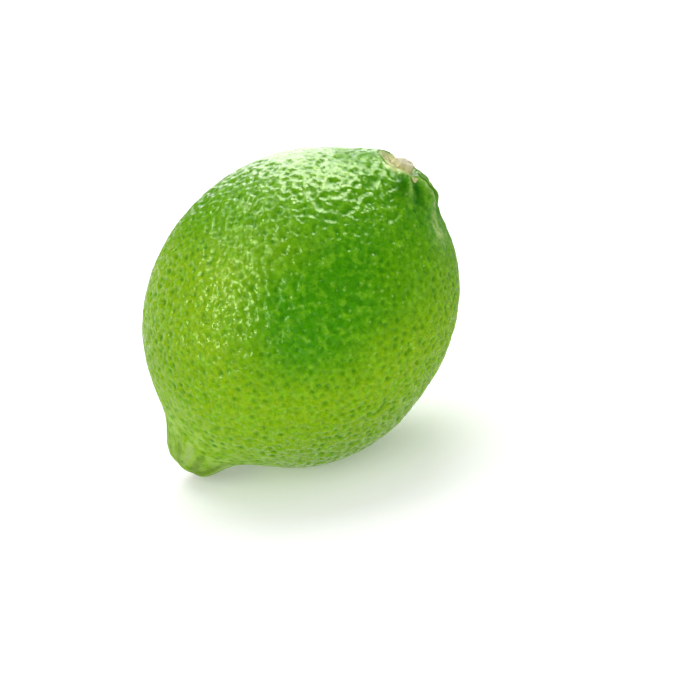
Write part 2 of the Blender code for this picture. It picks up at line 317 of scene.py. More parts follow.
def gland_directions():
    """Spread the glands over the sphere on a golden spiral, each nudged from its place."""
    rng = random.Random(SEED)
    polar = np.linspace(0.0, math.pi, SPIRAL_STEPS)
    crowding = 1.0 + STEM_END_CROWDING * np.exp(-(polar / STEM_END_WIDTH) ** 2)
    crowding += NIPPLE_CROWDING * np.exp(-((math.pi - polar) / NIPPLE_WIDTH) ** 2)
    share = np.cumsum(crowding * np.sin(polar))
    share /= share[-1]
    golden_turn = math.pi * (3.0 - math.sqrt(5.0))
    pitch = math.sqrt(4.0 * math.pi / GLAND_COUNT)
    directions = np.empty((GLAND_COUNT, 3))
    for i in range(GLAND_COUNT):
        away = float(np.interp((i + 0.5) / GLAND_COUNT, share, polar))
        turn = i * golden_turn
        ring = math.cos(turn) * STEM_UPPER + math.sin(turn) * STEM_SIDE
        point = math.cos(away) * STEM_AXIS + math.sin(away) * ring
        nudge = np.array([rng.uniform(-1.0, 1.0) for _ in range(3)])
        point = point + GLAND_SCATTER * pitch * nudge
        directions[i] = point / np.linalg.norm(point)
    return directions, rng


def ball_grid():
    """Directions and quads of a cube's grid pushed out to a ball, its top face at the stem."""
    steps = np.tan(np.linspace(-math.pi / 4.0, math.pi / 4.0, GRID + 1))
    u, v = np.meshgrid(steps, steps, indexing="ij")
    points = []
    quads = []
    cell = np.arange(GRID * (GRID + 1)).reshape(GRID, GRID + 1)[:, :-1].ravel()
    for axis in range(3):
        for sign in (-1.0, 1.0):
            face = np.empty(((GRID + 1) ** 2, 3))
            face[:, axis] = sign
            face[:, (axis + 1) % 3] = u.ravel() * sign
            face[:, (axis + 2) % 3] = v.ravel()
            base = cell + len(points) * (GRID + 1) ** 2
            quads.append(np.stack([base, base + GRID + 1, base + GRID + 2, base + 1], axis=1))
            points.append(face / np.linalg.norm(face, axis=1)[:, None])
    points = np.vstack(points)
    quads = np.vstack(quads)
    _, first, index = np.unique(
        np.round(points, WELD_DIGITS), axis=0, return_index=True, return_inverse=True)
    points = points[first]
    quads = index.ravel()[quads]
    turned = points @ np.array([STEM_UPPER, STEM_SIDE, STEM_AXIS])
    return turned, quads


def seat_outline(turns):
    """Radius of the scar round the stem axis: five soft lobes."""
    return SEAT_RADIUS + SEAT_LOBE * np.cos(SEAT_LOBES * turns + SEAT_LOBE_TURN)


def seat_share(points):
    """Distance from the scar's middle as a share of its outline, for points near the stem."""
    across = points @ STEM_UPPER + SEAT_OFFSET
    side = points @ STEM_SIDE
    turns = np.arctan2(side, across)
    opening = OPENING_LOWER + (OPENING_UPPER - OPENING_LOWER) * (0.5 + 0.5 * np.cos(turns))
    share = np.hypot(across, side) / (seat_outline(turns) * opening)
    share[points @ STEM_AXIS < 0.0] = FAR_SHARE
    return share


def add_mesh(name, points, faces):
    """Mesh object from points and faces, shaded smooth."""
    mesh = bpy.data.meshes.new(name)
    mesh.from_pydata(np.asarray(points).tolist(), [], [tuple(face) for face in faces])
    mesh.update()
    mesh.shade_smooth()
    made = bpy.data.objects.new(name, mesh)
    bpy.context.scene.collection.objects.link(made)
    return made


def add_attribute(piece, name, values):
    """One number per vertex, for the material to read."""
    attribute = piece.data.attributes.new(name, "FLOAT", "POINT")
    attribute.data.foreach_set("value", np.asarray(values, dtype=np.float32))


def noise_at(points, size, seed):
    """Smooth noise between about -1 and 1 at each point, with bumps of the given size."""
    shift = Vector([seed * step for step in NOISE_SHIFT])
    return np.array([noise.noise(Vector(p) / size + shift) for p in points])


def gland_relief(points):
    """Depth of the pits and of their skirts at each point, and how deep inside a gland it is."""
    directions, rng = gland_directions()
    centres = surface(directions)
    tree = KDTree(len(points))
    for i, p in enumerate(points):
        tree.insert(p, i)
    tree.balance()
    depth = np.zeros(len(points))
    skirt = np.zeros(len(points))
    inside = np.zeros(len(points))
    for centre in centres:
        size = rng.random()
        radius = GLAND_RADIUS[0] + (GLAND_RADIUS[1] - GLAND_RADIUS[0]) * size
        deep = GLAND_DEPTH[0] + (GLAND_DEPTH[1] - GLAND_DEPTH[0]) * size * rng.uniform(*GLAND_DEPTH_SPREAD)
        dark = GLAND_TINT_LEAST + (1.0 - GLAND_TINT_LEAST) * size
        for _, index, distance in tree.find_range(Vector(centre), GLAND_REACH):
            core = math.exp(-(distance / radius) ** 2)
            depth[index] += deep * core
            skirt[index] = max(skirt[index], math.exp(-(distance / SKIRT_RADIUS) ** 2))
            tint = math.exp(-(distance / (GLAND_TINT_SHARE * radius)) ** 2)
            inside[index] = max(inside[index], tint * dark)
    return depth, skirt, inside


def neck_lines(directions, lines):
    """Marks from 0 to 1 that run down the neck's flank, in its hollows or on its crests."""
    away = angle_between(directions, STEM_AXIS)
    turns = turn_of(directions)
    mark = np.zeros(len(directions))
    for middle, half_width, ring, strength in lines:
        offset = turn_difference(turns, math.radians(middle)) / math.radians(half_width)
        along = (away - math.radians(ring)) / FOLD_RING_WIDTH
        mark = np.maximum(mark, strength * np.exp(-offset ** 2 - along ** 2))
    return mark


def yellow_and_lit_share(points):
    """How yellow and light the green is at each point, from 0 to 1: partly the rind's own hue, partly
    painted light.
    """
    start, end = DEEP_GREEN_LINE
    along = np.clip((points - start) @ (end - start) / ((end - start) @ (end - start)), 0.0, 1.0)
    nearest = start + along[:, None] * (end - start)
    drift = YELLOW_DRIFT * noise_at(points, YELLOW_DRIFT_SIZE, YELLOW_DRIFT_SEED)
    distance = np.linalg.norm(points - nearest, axis=1) + drift
    on_top = smooth_step(*GREEN_TOP, points[:, 2])
    return smooth_step(YELLOW_NEAR, YELLOW_FAR, distance) * (1.0 - GREEN_TOP_SHARE * on_top)


def nipple_streaks(directions):
    """Pale and brown streaks that run along the nipple: 0.5 where there are none."""
    away = angle_between(directions, -STEM_AXIS)
    turns = turn_of(directions)
    across = STREAK_FINENESS * np.cos(turns), STREAK_FINENESS * np.sin(turns)
    places = np.stack([*across, STREAK_SHORTNESS * away], axis=1)
    lines = [noise.noise(Vector(place)) for place in places]
    band = smooth_step(STREAK_END, STREAK_START, away) * smooth_step(*STREAK_TIP, away)
    return 0.5 + np.array(lines) * band


def rind_marks(directions, share):
    """Marks of the rind at each point, mostly from 0 to 1, that its relief and its material read."""
    from_stem = angle_between(directions, STEM_AXIS)
    from_tip = angle_between(directions, -STEM_AXIS)
    from_top = angle_between(directions, GLOSSY_TOP / np.linalg.norm(GLOSSY_TOP))
    off_rim = turn_difference(turn_of(directions), RIM_TURN) / RIM_HALF_WIDTH
    hollow_shade = neck_lines(directions, HOLLOW_SHADES)
    dulled = neck_lines(directions, DULLED)
    nipple = smooth_step(NIPPLE_WIDTH, 0.5 * NIPPLE_WIDTH, from_tip)
    return {
        "rim": smooth_step(*RIM_BORDER, share) * np.exp(-off_rim ** 2),
        "hollow_shade": hollow_shade,
        "crest_highlight": neck_lines(directions, CREST_HIGHLIGHTS),
        "nipple": nipple,
        "dull": np.maximum.reduce([hollow_shade, NIPPLE_DULLNESS * nipple, dulled]),
        "calm": smooth_step(CALM_START, CALM_END, from_tip),
        "glossy": np.exp(-(from_top / GLOSSY_TOP_WIDTH) ** 2),
        "streak": nipple_streaks(directions),
        "tip": smooth_step(*TIP_SCAR, np.degrees(from_stem)),
    }


def rind_relief(points, directions, calm, glossy):
    """Height of the bumps less that of the pits at each point, and how deep inside a gland it is."""
    depth, skirt, inside = gland_relief(points)
    bumps = sum(height * noise_at(points, size, seed) for seed, (size, height) in enumerate(BUMPS))
    near_neck = np.exp(-(angle_between(directions, STEM_AXIS) / NECK_BUMPS_WIDTH) ** 2)
    bumps *= 1.0 - (1.0 - CALM_BUMPS) * calm + (NECK_BUMPS - 1.0) * near_neck
    pits = depth * (1.0 - (1.0 - CALM_PITS) * calm)
    relief = bumps - pits - SKIRT_DEPTH * skirt
    return relief * (1.0 - (1.0 - GLOSSY_TOP_PITS) * glossy), inside


def make_rind():
    """The fruit's fine skin, with its flat spot, its scar and the marks that its material reads."""
    directions, quads = ball_grid()
    points = surface(directions)
    belly = angle_between(directions, -STEM_AXIS) > NIPPLE_WIDTH
    floor = points[belly][:, 2].min() + FLAT_DEPTH
    middle = -0.5 * (points.min(axis=0) + points.max(axis=0))
    middle[2] = -floor
    flat_middle = points[points[:, 2] < floor].mean(axis=0)
    from_flat = np.linalg.norm(points - flat_middle, axis=1)

    share = seat_share(points)
    marks = rind_marks(directions, share)
    relief, inside = rind_relief(points, directions, marks["calm"], marks["glossy"])
    open_rind = smooth_step(*FLAT_BORDER, from_flat) * smooth_step(*SCAR_BORDER, share)
    sunk = SCAR_SINK * (1.0 - smooth_step(*SCAR_SINK_BORDER, share))
    points = points + directions * (relief * open_rind - sunk)[:, None] + middle
    points[:, 2] = np.maximum(points[:, 2], 0.0)
    marks["gland"] = inside * open_rind
    marks["yellow_and_lit"] = yellow_and_lit_share(points)

    rind = add_mesh("rind", points, quads)
    for name, values in marks.items():
        add_attribute(rind, name, values)
    return rind, middle


# Materials

# Colours of the rind
DEEP_GREEN = (0.058, 0.280, 0.001)
# Lighter yellow-green: partly the rind's own hue, partly painted light on the side lit from the left
YELLOW_AND_LIT_GREEN = (0.240, 0.435, 0.003)
MOTTLED_GREEN = (0.210, 0.490, 0.012)
GRAIN_SHADE = (0.45, 0.68, 0.40)
CALM_GREEN = (0.340, 0.560, 0.080)
# Dark green in the pits: partly the glands' own colour, partly painted shade
GLAND_AND_SHADE_GREEN = (0.032, 0.200, 0.001)
FLECK_GREEN = (0.300, 0.560, 0.090)
NIPPLE_OLIVE = (0.120, 0.240, 0.006)
# Painted shade in the neck's hollows
HOLLOW_SHADE_GREEN = (0.008, 0.110, 0.0005)
# Painted highlight on the crests of the neck's folds
CREST_HIGHLIGHT_GREEN = (0.400, 0.560, 0.170)
PALE_STREAK = (0.330, 0.470, 0.130)
BROWN_STREAK = (0.130, 0.210, 0.020)
RIM_GREEN = (0.50, 0.62, 0.22)
TIP_BROWN = (0.16, 0.10, 0.03)

# Sizes of the rind's patterns
MOTTLE_SIZE = 1.5 * MM
GRAIN_SIZE = 0.8 * MM
CALM_PATCH_SIZE = 2.6 * MM
PIT_PATCH_SIZE = 8.0 * MM
FLECK_PITCH = 1.5 * MM
SMUDGE_SIZE = 5.0 * MM
WORN_SIZE = 0.7 * MM
PORE_PITCH = 1.2 * MM
FINE_SIZE = 0.6 * MM

# Strengths of the rind's tints
MOTTLE_TINT = 0.65
GRAIN_TINT = 0.45
CALM_TINT = 0.75
# Painted shade in the pits, partly the glands' own green; more of it where the rind is calm
GLAND_AND_SHADE_TINT = (0.34, 0.72)
CALM_PIT_SHADE_TINT = 0.22
FLECK_TINT = 0.60
NIPPLE_TINT = 0.35
# Strength of the painted highlights on the crests
CREST_HIGHLIGHT_TINT = (0.15, 0.95)
STREAK_TINT = 0.6

# Gloss of the rind: rough where it is dull or calm, and worn in small patches below a height
POLISH = (0.15, 0.25)
DULL_ROUGHNESS = 0.10
CALM_ROUGHNESS = 0.36
PIT_DULLNESS = 0.9
WORN_DULLNESS = 0.90
WORN_BELOW = (48.0 * MM, 42.0 * MM)
SHINE = (0.32, 0.02)
GLOSSY_SHINE = 0.45
SHINE_COLOUR = (0.92, 1.0, 0.58)
WAX_IOR = 1.45

# Light that goes a little way into the rind
SOFT_DEPTH_WEIGHT = 0.12
SOFT_DEPTH_COLOUR = (0.8, 1.0, 0.3)
SOFT_DEPTH = 0.9 * MM

# Finest relief of the rind, weaker where it is calm or glossy
PORE_RELIEF = (0.42, 0.05)
GLOSSY_PORE_LOSS = 0.35
PORE_DEPTH = 0.20 * MM

# Colours of the dried button
RING_TAN = (0.70, 0.67, 0.28)
STUB_BEIGE = (0.53, 0.50, 0.30)
STAIN_GREEN = (0.36, 0.50, 0.14)
RING_OLIVE = (0.22, 0.33, 0.07)
CORK_BROWN = (0.23, 0.16, 0.08)
# Brown of the painted shade round the stub's foot and under the rim, also of the stub's brown patch
HOLLOW_SHADE_BROWN = (0.17, 0.12, 0.04)

# Patterns of the dried button
STAIN_SIZE = 1.4 * MM
STAIN_TINT = 0.65
OLIVE_TINT = 0.8
CORK_SIZE = 0.9 * MM
CORK_TINT = 0.75
# Strength of that painted shade and brown patch
HOLLOW_SHADE_TINT = 0.8
DRY_ROUGHNESS = 0.85
DRY_RELIEF = 0.8
DRY_RELIEF_SIZE = 0.30 * MM
DRY_RELIEF_DEPTH = 0.12 * MM


def new_material(name):
    """Empty material with a Principled shader; returns it with its node tree."""
    material = bpy.data.materials.new(name)
    material.use_nodes = True
    return material, material.node_tree


def feed(tree, socket, value):
    """Join a socket to another one, or give it a fixed colour or number."""
    if isinstance(value, bpy.types.NodeSocket):
        tree.links.new(value, socket)
    elif isinstance(value, tuple):
        socket.default_value = (*value, 1.0)
    else:
        socket.default_value = value


def mix(tree, factor, first, second, kind="MIX"):
    """Mix two colours by a factor; each may be a socket or fixed."""
    node = tree.nodes.new("ShaderNodeMix")
    node.data_type = "RGBA"
    node.blend_type = kind
    feed(tree, node.inputs[0], factor)
    feed(tree, node.inputs[6], first)
    feed(tree, node.inputs[7], second)
    return node.outputs[2]


def map_range(tree, value, low, high, to_low=0.0, to_high=1.0):
    """Smooth remap of a value."""
    node = tree.nodes.new("ShaderNodeMapRange")
    node.interpolation_type = "SMOOTHSTEP"
    node.inputs["From Min"].default_value = low
    node.inputs["From Max"].default_value = high
    node.inputs["To Min"].default_value = to_low
    node.inputs["To Max"].default_value = to_high
    tree.links.new(value, node.inputs["Value"])
    return node.outputs["Result"]


def maths(tree, kind, first, second):
    """Math node on sockets or numbers."""
    node = tree.nodes.new("ShaderNodeMath")
    node.operation = kind
    feed(tree, node.inputs[0], first)
    feed(tree, node.inputs[1], second)
    return node.outputs[0]


def times(tree, first, second):
    """Product of two sockets or numbers."""
    return maths(tree, "MULTIPLY", first, second)


def attribute(tree, name):
    """Value of a vertex attribute."""
    node = tree.nodes.new("ShaderNodeAttribute")
    node.attribute_name = name
    return node.outputs["Fac"]


def object_place(tree):
    """Place on the object, in metres."""
    return tree.nodes.new("ShaderNodeTexCoord").outputs["Object"]


def noise_node(tree, place, size, detail=3.0, roughness=0.5):
    """Noise texture with bumps of a real size in metres."""
    node = tree.nodes.new("ShaderNodeTexNoise")
    node.inputs["Scale"].default_value = 1.0 / size
    node.inputs["Detail"].default_value = detail
    node.inputs["Roughness"].default_value = roughness
    tree.links.new(place, node.inputs["Vector"])
    return node.outputs["Fac"]


def cells(tree, place, pitch):
    """Cell texture with cells of a real size in metres."""
    node = tree.nodes.new("ShaderNodeTexVoronoi")
    node.inputs["Scale"].default_value = 1.0 / pitch
    tree.links.new(place, node.inputs["Vector"])
    return node


def add_bump(tree, shader, height, strength, depth):
    """Fine relief that only the light sees."""
    bump = tree.nodes.new("ShaderNodeBump")
    feed(tree, bump.inputs["Strength"], strength)
    bump.inputs["Distance"].default_value = depth
    tree.links.new(height, bump.inputs["Height"])
    tree.links.new(bump.outputs["Normal"], shader.inputs["Normal"])


def fleck_mark(tree, place):
    """Small pale flecks in some of the cells of a fine pattern."""
    flecks = cells(tree, place, FLECK_PITCH)
    chosen = tree.nodes.new("ShaderNodeSeparateColor")
    tree.links.new(flecks.outputs["Color"], chosen.inputs["Color"])
    spot = map_range(tree, flecks.outputs["Distance"], 0.30, 0.05)
    return times(tree, spot, map_range(tree, chosen.outputs["Red"], 0.4, 0.8))


def rind_colour(tree, place, calm):
    """Deep green, yellower and partly painted light on one side, partly painted shade in the glands, painted
    shade in the hollows and highlights on the crests, pale at the scar.
    """
    # Yellower, lighter green away from the deep line: partly the rind's own hue, partly painted light
    body = mix(tree, attribute(tree, "yellow_and_lit"), DEEP_GREEN, YELLOW_AND_LIT_GREEN)

    mottle = noise_node(tree, place, MOTTLE_SIZE, 3.0, 0.6)
    body = mix(tree, map_range(tree, mottle, 0.45, 0.70, 0.0, MOTTLE_TINT), body, MOTTLED_GREEN)
    grain = noise_node(tree, place, GRAIN_SIZE, 2.0, 0.6)
    grain = map_range(tree, grain, 0.58, 0.40, 0.0, GRAIN_TINT)
    body = mix(tree, grain, body, GRAIN_SHADE, "MULTIPLY")
    patches = noise_node(tree, place, CALM_PATCH_SIZE, 1.0, 0.5)
    paler = times(tree, calm, map_range(tree, patches, 0.40, 0.62, 0.0, CALM_TINT))
    body = mix(tree, paler, body, CALM_GREEN)

    # Dark green in the pits: partly the glands' own colour, partly painted shade, more of it round the
    # nipple
    gland = map_range(tree, attribute(tree, "gland"), 0.10, 0.90)
    patches = noise_node(tree, place, PIT_PATCH_SIZE, 2.0, 0.5)
    tinted = map_range(tree, patches, 0.38, 0.60, *GLAND_AND_SHADE_TINT)
    tinted = maths(tree, "ADD", tinted, times(tree, calm, CALM_PIT_SHADE_TINT))
    body = mix(tree, times(tree, gland, tinted), body, GLAND_AND_SHADE_GREEN)
    body = mix(tree, times(tree, fleck_mark(tree, place), FLECK_TINT), body, FLECK_GREEN)

    body = mix(tree, times(tree, attribute(tree, "nipple"), NIPPLE_TINT), body, NIPPLE_OLIVE)
    # Painted shade in the hollows of the neck's folds
    body = mix(tree, attribute(tree, "hollow_shade"), body, HOLLOW_SHADE_GREEN)
    # Painted highlights on the crests of the neck's folds, broken by the mottle
    broken = map_range(tree, mottle, 0.38, 0.58, *CREST_HIGHLIGHT_TINT)
    body = mix(tree, times(tree, attribute(tree, "crest_highlight"), broken), body, CREST_HIGHLIGHT_GREEN)
    streak = attribute(tree, "streak")
    body = mix(tree, map_range(tree, streak, 0.55, 0.80, 0.0, STREAK_TINT), body, PALE_STREAK)
    body = mix(tree, map_range(tree, streak, 0.45, 0.15, 0.0, STREAK_TINT), body, BROWN_STREAK)
    body = mix(tree, attribute(tree, "rim"), body, RIM_GREEN)
    return mix(tree, attribute(tree, "tip"), body, TIP_BROWN)


def rind_dullness(tree, place):
    """How dull the rind is: in its pits, in its hollows and in worn patches lower down."""
    in_pits = times(tree, attribute(tree, "gland"), PIT_DULLNESS)
    dull = maths(tree, "MAXIMUM", attribute(tree, "dull"), in_pits)
    height = tree.nodes.new("ShaderNodeSeparateXYZ")
    tree.links.new(place, height.inputs[0])
    lower = map_range(tree, height.outputs["Z"], *WORN_BELOW)
    patches = noise_node(tree, place, WORN_SIZE, 2.0, 0.6)
    worn = map_range(tree, patches, 0.44, 0.56, 0.0, WORN_DULLNESS)
    return maths(tree, "MAXIMUM", dull, times(tree, worn, lower))


def rind_material():
    """Waxy green rind, glossy at the top, calm and dull round the nipple."""
    material, tree = new_material("lime_rind")
    shader = tree.nodes["Principled BSDF"]
    place = object_place(tree)
    calm = attribute(tree, "calm")
    glossy = attribute(tree, "glossy")
    feed(tree, shader.inputs["Base Color"], rind_colour(tree, place, calm))

    dull = rind_dullness(tree, place)
    smudge = noise_node(tree, place, SMUDGE_SIZE, 3.0, 0.6)
    rough = map_range(tree, smudge, 0.3, 0.7, *POLISH)
    rough = maths(tree, "ADD", rough, times(tree, dull, DULL_ROUGHNESS))
    rough = maths(tree, "ADD", rough, times(tree, calm, CALM_ROUGHNESS))
    feed(tree, shader.inputs["Roughness"], rough)
    shine = map_range(tree, dull, 0.0, 1.0, *SHINE)
    shine = maths(tree, "ADD", shine, times(tree, glossy, GLOSSY_SHINE))
    feed(tree, shader.inputs["Specular IOR Level"], shine)
    feed(tree, shader.inputs["Specular Tint"], SHINE_COLOUR)
    feed(tree, shader.inputs["Metallic"], 0.0)
    feed(tree, shader.inputs["IOR"], WAX_IOR)
    shader.inputs["Subsurface Weight"].default_value = SOFT_DEPTH_WEIGHT
    shader.inputs["Subsurface Radius"].default_value = SOFT_DEPTH_COLOUR
    shader.inputs["Subsurface Scale"].default_value = SOFT_DEPTH

    pores = cells(tree, place, PORE_PITCH)
    pore = map_range(tree, pores.outputs["Distance"], 0.05, 0.45)
    height = maths(tree, "ADD", pore, noise_node(tree, place, FINE_SIZE, 2.0, 0.5))
    strength = map_range(tree, calm, 0.0, 1.0, *PORE_RELIEF)
    strength = maths(tree, "SUBTRACT", strength, times(tree, glossy, GLOSSY_PORE_LOSS))
    add_bump(tree, shader, height, strength, PORE_DEPTH)
    return material


def dry_material():
    """Corky calyx and stem stub: tan, grey-beige on the stub, brown as painted shade round the stub's foot
    and under the rim, and a brown patch on the stub.
    """
    material, tree = new_material("dry_button")
    shader = tree.nodes["Principled BSDF"]
    place = object_place(tree)
    stub = attribute(tree, "stub")
    body = mix(tree, stub, RING_TAN, STUB_BEIGE)
    stain = maths(tree, "SUBTRACT", noise_node(tree, place, STAIN_SIZE, 3.0, 0.6), stub)
    body = mix(tree, map_range(tree, stain, 0.42, 0.60, 0.0, STAIN_TINT), body, STAIN_GREEN)
    body = mix(tree, times(tree, attribute(tree, "olive"), OLIVE_TINT), body, RING_OLIVE)
    cork = noise_node(tree, place, CORK_SIZE, 4.0, 0.65)
    body = mix(tree, map_range(tree, cork, 0.50, 0.70, 0.0, CORK_TINT), body, CORK_BROWN)
    # Brown painted shade round the stub's foot and under the rim, and the stub's brown patch
    hollow_shade = map_range(tree, attribute(tree, "hollow_shade"), 0.2, 1.0, 0.0, HOLLOW_SHADE_TINT)
    body = mix(tree, hollow_shade, body, HOLLOW_SHADE_BROWN)
    feed(tree, shader.inputs["Base Color"], body)
    feed(tree, shader.inputs["Roughness"], DRY_ROUGHNESS)
    relief = noise_node(tree, place, DRY_RELIEF_SIZE, 4.0, 0.6)
    add_bump(tree, shader, relief, DRY_RELIEF, DRY_RELIEF_DEPTH)
    return material


# Dried stem button: places on it are shares of the way from its middle to the scar's outline

BUTTON_TURNS = 144
BUTTON_RINGS = 44
BUTTON_START = 0.02
BUTTON_EDGE = 1.02
BUTTON_BASE = 0.3 * MM

# Calyx ring: the dish, the rim with its rounded edge, the lobes and the ribs
DISH = 0.50 * MM
RIM_TOP = 1.05 * MM
RIM_RISE = (0.55, 0.92)
EDGE_DROP = 0.55 * MM
EDGE_ROUNDING = (0.93, 1.0)
LOBE_HEIGHT = 0.12 * MM
LOBE_START = (0.5, 0.8)
RIB_COUNT = 23
RIB_HEIGHT = 0.07 * MM
RIB_SKEW = 1.3
RIB_START = (0.40, 0.60)
RIB_END = (0.90, 1.02)
WORN_SHARE = 0.5

# Stub: its wavy outline, its slanting top and its rough break
STUB_SHARE = 0.42
STUB_WAVES = [(3, 0.8, 0.09), (7, 0.0, 0.05)]
STUB_WALL = (-0.07, 0.05)
STUB_TOP = 2.05 * MM
STUB_SLANT = 0.30 * MM
STUB_OFFSET = 0.75 * MM
BREAK_BUMPS = [(0.7 * MM, 0.16 * MM, 5), (1.7 * MM, 0.18 * MM, 6)]
RING_BUMPS_SHARE = 0.35

# Brown marks: painted shade in the hollow round the stub's foot, and a brown patch on the stub's lower side
FOOT_OFFSET = 0.06
FOOT_WIDTH = 0.05
BROWN_PATCH_SHARE = 0.34
BROWN_PATCH_WIDTH = 0.10
BROWN_PATCH_TURN = math.radians(160)
BROWN_PATCH_HALF_WIDTH = math.radians(34)
BROWN_PATCH_TINT = 0.8

# Olive stretch of the rim
OLIVE_START = (0.60, 0.95)
OLIVE_TURN = math.radians(-15)
OLIVE_HALF_WIDTH = math.radians(65)


def button_height(share, turns, points):
    """Height of the button's top above the seat's floor, its stub mark, and a mark of painted shade round
    the stub's foot joined with a brown patch on the stub.
    """
    ribs = RIB_HEIGHT * np.cos(RIB_COUNT * turns + RIB_SKEW * np.sin(3.0 * turns))
    ribs *= smooth_step(*RIB_START, share) * (1.0 - smooth_step(*RIB_END, share))
    lobes = LOBE_HEIGHT * np.cos(SEAT_LOBES * turns + SEAT_LOBE_TURN) * smooth_step(*LOBE_START, share)
    dish = DISH + (RIM_TOP - DISH) * smooth_step(*RIM_RISE, share)
    edge = EDGE_DROP * smooth_step(*EDGE_ROUNDING, share)
    waves = sum(size * np.sin(count * turns + start) for count, start, size in STUB_WAVES)
    wavy = STUB_SHARE * (1.0 + waves)
    stub = 1.0 - smooth_step(wavy + STUB_WALL[0], wavy + STUB_WALL[1], share)
    rough = sum(height * noise_at(points, size, seed) for size, height, seed in BREAK_BUMPS)
    worn = WORN_SHARE * np.exp(-(turn_difference(turns, NOTCH_TURN) / NOTCH_HALF_WIDTH) ** 2)
    height = (dish + ribs + lobes - edge) * (1.0 - worn)
    top = STUB_TOP - STUB_SLANT * np.cos(turns) * share / STUB_SHARE
    height += stub * (top - height + rough) + RING_BUMPS_SHARE * rough * (1.0 - stub)
    # Painted shade in the hollow round the stub's foot, then a brown patch on the stub's lower side
    hollow_shade = np.exp(-((share - wavy - FOOT_OFFSET) / FOOT_WIDTH) ** 2)
    brown_patch = BROWN_PATCH_TINT * np.exp(-((share - BROWN_PATCH_SHARE) / BROWN_PATCH_WIDTH) ** 2)
    brown_patch *= np.exp(-(turn_difference(turns, BROWN_PATCH_TURN) / BROWN_PATCH_HALF_WIDTH) ** 2)
    return height, stub, np.maximum(hollow_shade, brown_patch)


def make_button(middle):
    """Calyx ring and broken stub as one closed mesh on a grid of rings and turns."""
    shares = np.linspace(BUTTON_START, BUTTON_EDGE, BUTTON_RINGS)
    turns = np.linspace(0.0, 2.0 * math.pi, BUTTON_TURNS, endpoint=False)
    share, turn = (a.ravel() for a in np.meshgrid(shares, turns, indexing="ij"))
    radius = share * seat_outline(turn)
    offset = SEAT_OFFSET + STUB_OFFSET * (1.0 - share)
    across = radius * np.cos(turn) - offset
    side = radius * np.sin(turn)
    flat = across[:, None] * STEM_UPPER + side[:, None] * STEM_SIDE
    height, stub, hollow_shade = button_height(share, turn, flat)
    top = flat + (SEAT_FLOOR + height)[:, None] * STEM_AXIS
    rim = flat[-BUTTON_TURNS:] + (SEAT_FLOOR + BUTTON_BASE) * STEM_AXIS
    tip_height = SEAT_FLOOR + height[:BUTTON_TURNS].mean()
    tip = -(SEAT_OFFSET + STUB_OFFSET) * STEM_UPPER + tip_height * STEM_AXIS
    base = -SEAT_OFFSET * STEM_UPPER + (SEAT_FLOOR + BUTTON_BASE) * STEM_AXIS
    points = np.vstack([top, rim, tip, base]) + middle
    faces = []
    for ring in range(BUTTON_RINGS):
        for i in range(BUTTON_TURNS):
            j = (i + 1) % BUTTON_TURNS
            low, high = ring * BUTTON_TURNS, (ring + 1) * BUTTON_TURNS
            faces.append((low + i, high + i, high + j, low + j))
    last_ring = BUTTON_RINGS * BUTTON_TURNS
    tip_at = last_ring + BUTTON_TURNS
    base_at = tip_at + 1
    for i in range(BUTTON_TURNS):
        j = (i + 1) % BUTTON_TURNS
        faces.append((tip_at, i, j))
        faces.append((base_at, last_ring + j, last_ring + i))

    button = add_mesh("button", points, faces)
    olive = np.exp(-(turn_difference(turn, OLIVE_TURN) / OLIVE_HALF_WIDTH) ** 2)
    olive *= smooth_step(*OLIVE_START, share)
    rim_zeros = np.zeros(BUTTON_TURNS)
    add_attribute(button, "stub", np.concatenate([stub, rim_zeros, [1.0, 0.0]]))
    # Painted shade also on the rim and the base that sit in the seat
    add_attribute(button, "hollow_shade", np.concatenate([hollow_shade, rim_zeros + 1.0, [0.0, 1.0]]))
    add_attribute(button, "olive", np.concatenate([olive, rim_zeros, [0.0, 0.0]]))
    return button


# Studio: every direction is given as right, up and toward the camera

# Surroundings: how strongly they light the fruit, and how dark its reflections are between the glows
SOFT_LIGHT = 0.62
MIRRORED_DARK = 0.04

# Bright sides in reflections: direction, soft edge as cosines, brightness
MIRRORED_GLOWS = [
    ((-0.80, -0.40, -0.45), 0.66, 0.95, 2.3),
    ((-0.09, 0.54, -0.83), 0.93, 0.992, 3.3),
    ((0.60, 0.00, -0.80), 0.60, 0.95, 0.30),
]

# Panels that only the reflections show: name, direction, long side's direction, distance, size, watts
SHEEN_PANELS = [
    ("sheen_panel", (-0.05, 0.95, -0.30), (0.69, 0.28, 0.69), 0.60, (0.50, 0.26), 4.2),
    ("high_sheen_panel", (0.16, 0.97, 0.10), (1.0, 0.0, 0.0), 0.60, (0.44, 0.23), 5.4),
    ("side_sheen_panel", (-0.78, 0.12, 0.60), (0.6, 0.0, 0.8), 0.60, (0.14, 0.38), 3.4),
    ("side_haze_panel", (-0.78, 0.12, 0.60), (0.6, 0.0, 0.8), 0.62, (0.42, 0.76), 4.6),
    ("shoulder_sheen_panel", (-0.60, 0.78, 0.05), (0.7, 0.0, 0.7), 0.60, (0.18, 0.08), 1.1),
]

# Panels that light the fruit and that no reflection shows, in the same terms
FILL_PANELS = [
    ("top_panel", (-0.25, 0.95, -0.20), (1.0, 0.0, 0.0), 0.60, (0.60, 0.60), 3.2),
    ("front_panel", (-0.35, 0.25, 1.0), (1.0, 0.0, 0.0), 1.00, (1.0, 1.0), 2.6),
]

# Table: its size and its plain looks
TABLE_HALF_SIZE = 3.0
TABLE_WHITE = (0.86, 0.86, 0.86)
TABLE_ROUGHNESS = 0.9
TABLE_GLOW = 0.25
PURE_WHITE = (1.0, 1.0, 1.0)

# Table in the rind's reflections: brightness at the left and the right, and where it changes
MIRRORED_TABLE = (1.00, 0.35)
MIRRORED_TABLE_CHANGE = (-0.02, 0.08)


